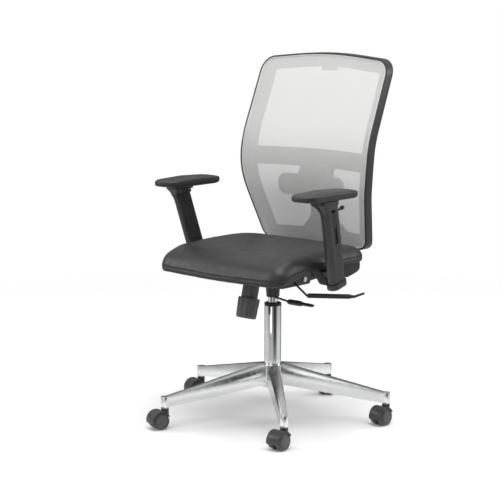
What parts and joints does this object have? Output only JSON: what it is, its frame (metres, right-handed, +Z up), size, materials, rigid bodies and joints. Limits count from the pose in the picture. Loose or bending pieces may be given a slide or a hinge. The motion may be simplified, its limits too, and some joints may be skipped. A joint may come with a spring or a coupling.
{
  "type": "swivel office chair",
  "caption": "Swivel office chair with armrests, a padded seat, a mesh back, a gas lift and a star base on casters.",
  "frame": {"origin": "the point on the floor under the column's axis", "axes": "+Z up along the column, the chair faces -Y, +X is the sitter's left"},
  "size_m": [0.6966, 0.7123, 1.07],
  "materials": {
    "polished_aluminium": "polished die casting",
    "chrome_steel": "bright chrome",
    "bright_steel": "zinc plated",
    "black_steel": "black powder coat",
    "dark_plastic": "fine moulded grain",
    "back_plastic": "fine moulded grain",
    "arm_pad_skin": "self-skinned foam, satin",
    "leatherette": "smooth leatherette",
    "back_mesh": "open knitted mesh",
    "plywood": "raw beech plywood",
    "caster_plastic": "fine moulded grain",
    "wheel_tread": "hard nylon"
  },
  "bodies": {
    "base": {"base_star": "polished_aluminium", "column_tube": "chrome_steel", "guide_bush": "dark_plastic", "thrust_bearing": "bright_steel"},
    "rod": {"piston_rod": "bright_steel", "rod_clip": "bright_steel"},
    "chassis": {"gas_cylinder": "chrome_steel", "cone_cup": "black_steel", "mechanism_housing": "black_steel", "pivot_pins": "bright_steel", "tension_sleeve": "dark_plastic", "tension_spring": "bright_steel"},
    "button": {"release_button": "bright_steel"},
    "height_control": {"height_lever": "black_steel", "height_grip": "dark_plastic"},
    "tilt_control": {"tilt_lever": "black_steel", "tilt_grip": "dark_plastic"},
    "knob": {"tension_screw": "bright_steel", "tension_knob": "dark_plastic"},
    "nut": {"tension_nut": "bright_steel"},
    "back": {"back_bar": "black_steel", "back_frame": "back_plastic", "lumbar_support": "back_plastic", "back_mesh": "back_mesh", "back_screws": "bright_steel"},
    "seat": {"seat_plate": "black_steel", "seat_board": "plywood", "seat_shell": "dark_plastic", "seat_cushion": "leatherette", "seat_screws": "bright_steel", "arm_bracket_left": "black_steel", "arm_bracket_right": "black_steel", "arm_post_left": "dark_plastic", "arm_post_right": "dark_plastic"},
    "arm_left": {"arm_sleeve_left": "dark_plastic", "arm_pad_left": "arm_pad_skin"},
    "arm_right": {"arm_sleeve_right": "dark_plastic", "arm_pad_right": "arm_pad_skin"},
    "trigger_left": {"arm_trigger_left": "dark_plastic"},
    "trigger_right": {"arm_trigger_right": "dark_plastic"},
    "caster_1": {"caster_pins_1": "bright_steel", "caster_hood_1": "caster_plastic"},
    "wheel_1a": {"wheel_1a": "wheel_tread"},
    "wheel_1b": {"wheel_1b": "wheel_tread"},
    "caster_2": {"caster_pins_2": "bright_steel", "caster_hood_2": "caster_plastic"},
    "wheel_2a": {"wheel_2a": "wheel_tread"},
    "wheel_2b": {"wheel_2b": "wheel_tread"},
    "caster_3": {"caster_pins_3": "bright_steel", "caster_hood_3": "caster_plastic"},
    "wheel_3a": {"wheel_3a": "wheel_tread"},
    "wheel_3b": {"wheel_3b": "wheel_tread"},
    "caster_4": {"caster_pins_4": "bright_steel", "caster_hood_4": "caster_plastic"},
    "wheel_4a": {"wheel_4a": "wheel_tread"},
    "wheel_4b": {"wheel_4b": "wheel_tread"},
    "caster_5": {"caster_pins_5": "bright_steel", "caster_hood_5": "caster_plastic"},
    "wheel_5a": {"wheel_5a": "wheel_tread"},
    "wheel_5b": {"wheel_5b": "wheel_tread"}
  },
  "joints": [
    {"name": "swivel", "type": "hinge", "parent": "base", "child": "rod", "pos_m": [0, 0, 0.105], "axis": [0, 0, 1], "continuous": true},
    {"name": "lift", "type": "slide", "parent": "rod", "child": "chassis", "axis": [0, 0, 1], "range_m": [0, 0.1]},
    {"name": "release", "type": "slide", "parent": "chassis", "child": "button", "axis": [0, 0, -1], "range_m": [0, 0.003]},
    {"name": "height_pull", "type": "hinge", "parent": "chassis", "child": "height_control", "pos_m": [0.034, -0.028, 0.418], "axis": [0, -1, 0], "range_deg": [0, 5], "stiffness_Nm_per_rad": 2, "springref_deg": -5.73},
    {"name": "tilt_lock", "type": "hinge", "parent": "chassis", "child": "tilt_control", "pos_m": [0.05, 0.01, 0.4167], "axis": [1, 0, 0], "range_deg": [0, 20]},
    {"name": "tension", "type": "hinge", "parent": "chassis", "child": "knob", "pos_m": [0, -0.094, 0.41255], "axis": [0, 0.2504, 0.9681], "range_deg": [0, 1800]},
    {"name": "nut_travel", "type": "slide", "parent": "chassis", "child": "nut", "axis": [0, 0.2504, 0.9681], "range_m": [0, 0.0125], "deforming": ["tension_spring"]},
    {"name": "recline", "type": "hinge", "parent": "chassis", "child": "back", "pos_m": [0, 0.072, 0.412], "axis": [-1, 0, 0], "range_deg": [0, 20], "stiffness_Nm_per_rad": 60, "springref_deg": -17.19},
    {"name": "seat_tilt", "type": "hinge", "parent": "chassis", "child": "seat", "pos_m": [0, -0.04, 0.43], "axis": [-1, 0, 0], "range_deg": [0, 8]},
    {"name": "arm_height_left", "type": "slide", "parent": "seat", "child": "arm_left", "axis": [0.0873, -0.2672, 0.9597], "range_m": [0, 0.08]},
    {"name": "arm_release_left", "type": "hinge", "parent": "arm_left", "child": "trigger_left", "pos_m": [0.29466, -0.08933, 0.64653], "axis": [-0.0242, -0.9636, -0.2661], "range_deg": [0, 6], "stiffness_Nm_per_rad": 0.5, "springref_deg": -5.73},
    {"name": "arm_height_right", "type": "slide", "parent": "seat", "child": "arm_right", "axis": [-0.0873, -0.2672, 0.9597], "range_m": [0, 0.08]},
    {"name": "arm_release_right", "type": "hinge", "parent": "arm_right", "child": "trigger_right", "pos_m": [-0.29466, -0.08933, 0.64653], "axis": [-0.0242, 0.9636, 0.2661], "range_deg": [0, 6], "stiffness_Nm_per_rad": 0.5, "springref_deg": -5.73},
    {"name": "caster_turn_1", "type": "hinge", "parent": "base", "child": "caster_1", "pos_m": [0.2988, 0.16223, 0.061], "axis": [0, 0, 1], "continuous": true},
    {"name": "roll_1a", "type": "hinge", "parent": "caster_1", "child": "wheel_1a", "pos_m": [0.2977, 0.14126, 0.025], "axis": [-0.9986, 0.0523, 0], "continuous": true},
    {"name": "roll_1b", "type": "hinge", "parent": "caster_1", "child": "wheel_1b", "pos_m": [0.2977, 0.14126, 0.025], "axis": [-0.9986, 0.0523, 0], "continuous": true},
    {"name": "caster_turn_2", "type": "hinge", "parent": "base", "child": "caster_2", "pos_m": [-0.06196, 0.33431, 0.061], "axis": [0, 0, 1], "continuous": true},
    {"name": "roll_2a", "type": "hinge", "parent": "caster_2", "child": "wheel_2a", "pos_m": [-0.05083, 0.3165, 0.025], "axis": [-0.848, -0.5299, 0], "continuous": true},
    {"name": "roll_2b", "type": "hinge", "parent": "caster_2", "child": "wheel_2b", "pos_m": [-0.05083, 0.3165, 0.025], "axis": [-0.848, -0.5299, 0], "continuous": true},
    {"name": "caster_turn_3", "type": "hinge", "parent": "base", "child": "caster_3", "pos_m": [-0.33709, 0.04438, 0.061], "axis": [0, 0, 1], "continuous": true},
    {"name": "roll_3a", "type": "hinge", "parent": "caster_3", "child": "wheel_3a", "pos_m": [-0.34358, 0.02441, 0.025], "axis": [-0.9511, 0.309, 0], "continuous": true},
    {"name": "roll_3b", "type": "hinge", "parent": "caster_3", "child": "wheel_3b", "pos_m": [-0.34358, 0.02441, 0.025], "axis": [-0.9511, 0.309, 0], "continuous": true},
    {"name": "caster_turn_4", "type": "hinge", "parent": "base", "child": "caster_4", "pos_m": [-0.14637, -0.30688, 0.061], "axis": [0, 0, 1], "continuous": true},
    {"name": "roll_4a", "type": "hinge", "parent": "caster_4", "child": "wheel_4a", "pos_m": [-0.15286, -0.32685, 0.025], "axis": [-0.9511, 0.309, 0], "continuous": true},
    {"name": "roll_4b", "type": "hinge", "parent": "caster_4", "child": "wheel_4b", "pos_m": [-0.15286, -0.32685, 0.025], "axis": [-0.9511, 0.309, 0], "continuous": true},
    {"name": "caster_turn_5", "type": "hinge", "parent": "base", "child": "caster_5", "pos_m": [0.24663, -0.23404, 0.061], "axis": [0, 0, 1], "continuous": true},
    {"name": "roll_5a", "type": "hinge", "parent": "caster_5", "child": "wheel_5a", "pos_m": [0.24663, -0.25504, 0.025], "axis": [-1, 0, 0], "continuous": true},
    {"name": "roll_5b", "type": "hinge", "parent": "caster_5", "child": "wheel_5b", "pos_m": [0.24663, -0.25504, 0.025], "axis": [-1, 0, 0], "continuous": true}
  ],
  "couplings": [
    {"joint": "seat_tilt", "follows": "recline", "ratio": 0.4},
    {"joint": "release", "follows": "height_pull", "m_per_rad": 0.034},
    {"joint": "nut_travel", "follows": "tension", "m_per_rad": 0.00039789}
  ]
}
